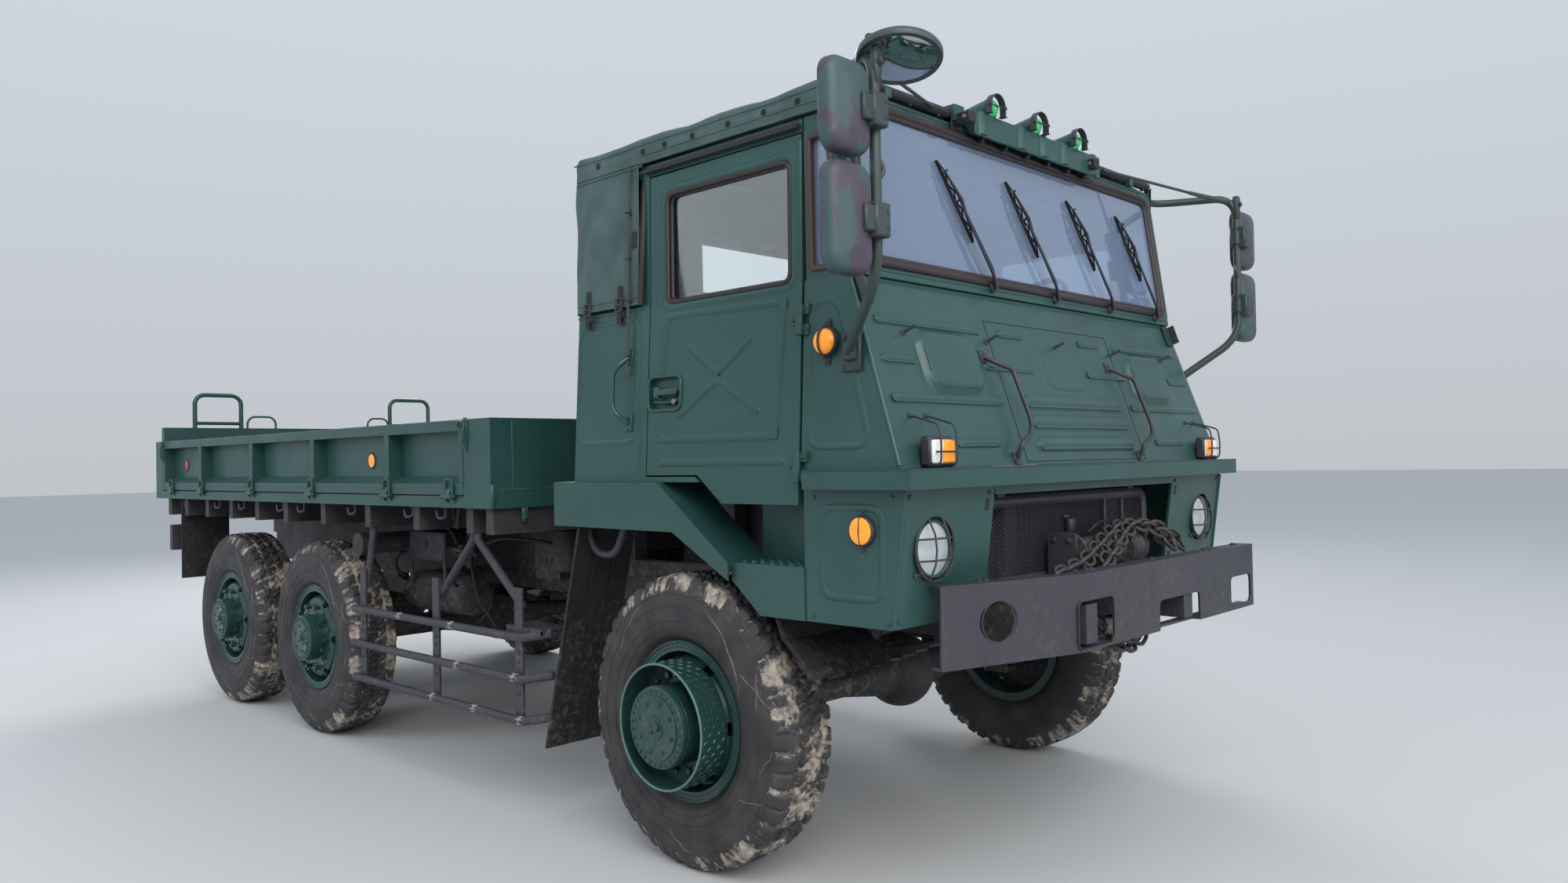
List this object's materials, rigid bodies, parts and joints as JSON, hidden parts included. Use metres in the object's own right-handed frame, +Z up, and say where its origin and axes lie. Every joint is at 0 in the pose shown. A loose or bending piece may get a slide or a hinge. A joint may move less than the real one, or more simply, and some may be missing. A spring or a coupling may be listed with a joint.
{
  "type": "military cargo truck",
  "caption": "Six-wheel drop-side cargo truck with a flat-fronted canvas-roofed cab, opening doors, hinged bed gates, steered front wheels and free-turning wheels.",
  "frame": {"origin": "on the ground under the middle of the truck's overall box", "axes": "+X to the truck's left, +Y to its rear, +Z up; the truck faces -Y"},
  "size_m": [3.12, 7.07, 2.8578],
  "materials": {
    "green_paint": "satin dark green",
    "dark_paint": "dull dark grey",
    "rubber": "matt black",
    "tyre": "worn rubber with dried mud",
    "glass": "clear",
    "canvas": "coarse canvas",
    "lamp_glass": "clear lens",
    "amber": "amber lens",
    "seat_fabric": "dull dark cover",
    "mirror_paint": "worn paint"
  },
  "bodies": {
    "truck": {"chassis_frame": "dark_paint", "front_bumper": "dark_paint", "winch": "dark_paint", "front_axle": "dark_paint", "rear_axles": "dark_paint", "springs": "dark_paint", "driveline": "dark_paint", "engine_block": "dark_paint", "cab_body": "green_paint", "nose_panel": "green_paint", "front_ledge": "green_paint", "lower_skirt": "green_paint", "headlamps": "lamp_glass", "grille": "dark_paint", "windscreen_frame": "green_paint", "cab_glass": "glass", "canvas_roof": "canvas", "roof_light_bar": "mirror_paint", "marker_lamps": "amber", "tail_lamps": "dark_paint", "wipers": "dark_paint", "mirrors": "mirror_paint", "cab_interior": "seat_fabric", "fenders": "green_paint", "mudflaps": "rubber", "tanks": "dark_paint", "exhaust": "dark_paint", "side_guards": "dark_paint", "bed_sills": "dark_paint", "cargo_bed": "green_paint", "tow_clevis": "dark_paint"},
    "knuckle_right": {"knuckle_right": "dark_paint"},
    "knuckle_left": {"knuckle_left": "dark_paint"},
    "door_right": {"door_right": "green_paint", "door_glass_right": "glass"},
    "door_left": {"door_left": "green_paint", "door_glass_left": "glass"},
    "side_gate_right": {"side_gate_right": "green_paint"},
    "side_gate_left": {"side_gate_left": "green_paint"},
    "tailgate": {"tailgate": "green_paint"},
    "wheel_front_right": {"tyre_front_right": "tyre", "wheel_front_right": "green_paint"},
    "wheel_front_left": {"tyre_front_left": "tyre", "wheel_front_left": "green_paint"},
    "wheel_mid_right": {"tyre_mid_right": "tyre", "wheel_mid_right": "green_paint"},
    "wheel_mid_left": {"tyre_mid_left": "tyre", "wheel_mid_left": "green_paint"},
    "wheel_rear_right": {"tyre_rear_right": "tyre", "wheel_rear_right": "green_paint"},
    "wheel_rear_left": {"tyre_rear_left": "tyre", "wheel_rear_left": "green_paint"}
  },
  "joints": [
    {"name": "steer_left", "type": "hinge", "parent": "truck", "child": "knuckle_left", "pos_m": [1, -2.307, 0.5425], "axis": [0, 0, 1], "range_deg": [-28, 28]},
    {"name": "steer_right", "type": "hinge", "parent": "truck", "child": "knuckle_right", "pos_m": [-1, -2.307, 0.5425], "axis": [0, 0, 1], "range_deg": [-28, 28]},
    {"name": "spin_front_right", "type": "hinge", "parent": "knuckle_right", "child": "wheel_front_right", "pos_m": [-1.08, -2.307, 0.5425], "axis": [1, 0, 0], "continuous": true},
    {"name": "spin_front_left", "type": "hinge", "parent": "knuckle_left", "child": "wheel_front_left", "pos_m": [1.08, -2.307, 0.5425], "axis": [1, 0, 0], "continuous": true},
    {"name": "spin_mid_right", "type": "hinge", "parent": "truck", "child": "wheel_mid_right", "pos_m": [-1.08, 0.859, 0.5425], "axis": [1, 0, 0], "continuous": true},
    {"name": "spin_mid_left", "type": "hinge", "parent": "truck", "child": "wheel_mid_left", "pos_m": [1.08, 0.859, 0.5425], "axis": [1, 0, 0], "continuous": true},
    {"name": "spin_rear_right", "type": "hinge", "parent": "truck", "child": "wheel_rear_right", "pos_m": [-1.08, 2.113, 0.5425], "axis": [1, 0, 0], "continuous": true},
    {"name": "spin_rear_left", "type": "hinge", "parent": "truck", "child": "wheel_rear_left", "pos_m": [1.08, 2.113, 0.5425], "axis": [1, 0, 0], "continuous": true},
    {"name": "door_left_hinge", "type": "hinge", "parent": "truck", "child": "door_left", "pos_m": [1.19719, -2.913, 1.7], "axis": [0.0551, 0, -0.9985], "range_deg": [0, 70]},
    {"name": "door_right_hinge", "type": "hinge", "parent": "truck", "child": "door_right", "pos_m": [-1.19719, -2.913, 1.7], "axis": [0.0551, 0, 0.9985], "range_deg": [0, 70]},
    {"name": "side_gate_left_hinge", "type": "hinge", "parent": "truck", "child": "side_gate_left", "pos_m": [1.25, 0.5, 1.352], "axis": [0, 1, 0], "range_deg": [0, 180]},
    {"name": "side_gate_right_hinge", "type": "hinge", "parent": "truck", "child": "side_gate_right", "pos_m": [-1.25, 0.5, 1.352], "axis": [0, -1, 0], "range_deg": [0, 180]},
    {"name": "tailgate_hinge", "type": "hinge", "parent": "truck", "child": "tailgate", "pos_m": [0, 3.524, 1.352], "axis": [-1, 0, 0], "range_deg": [0, 180]}
  ],
  "couplings": [
    {"joint": "steer_right", "follows": "steer_left", "ratio": 1}
  ]
}
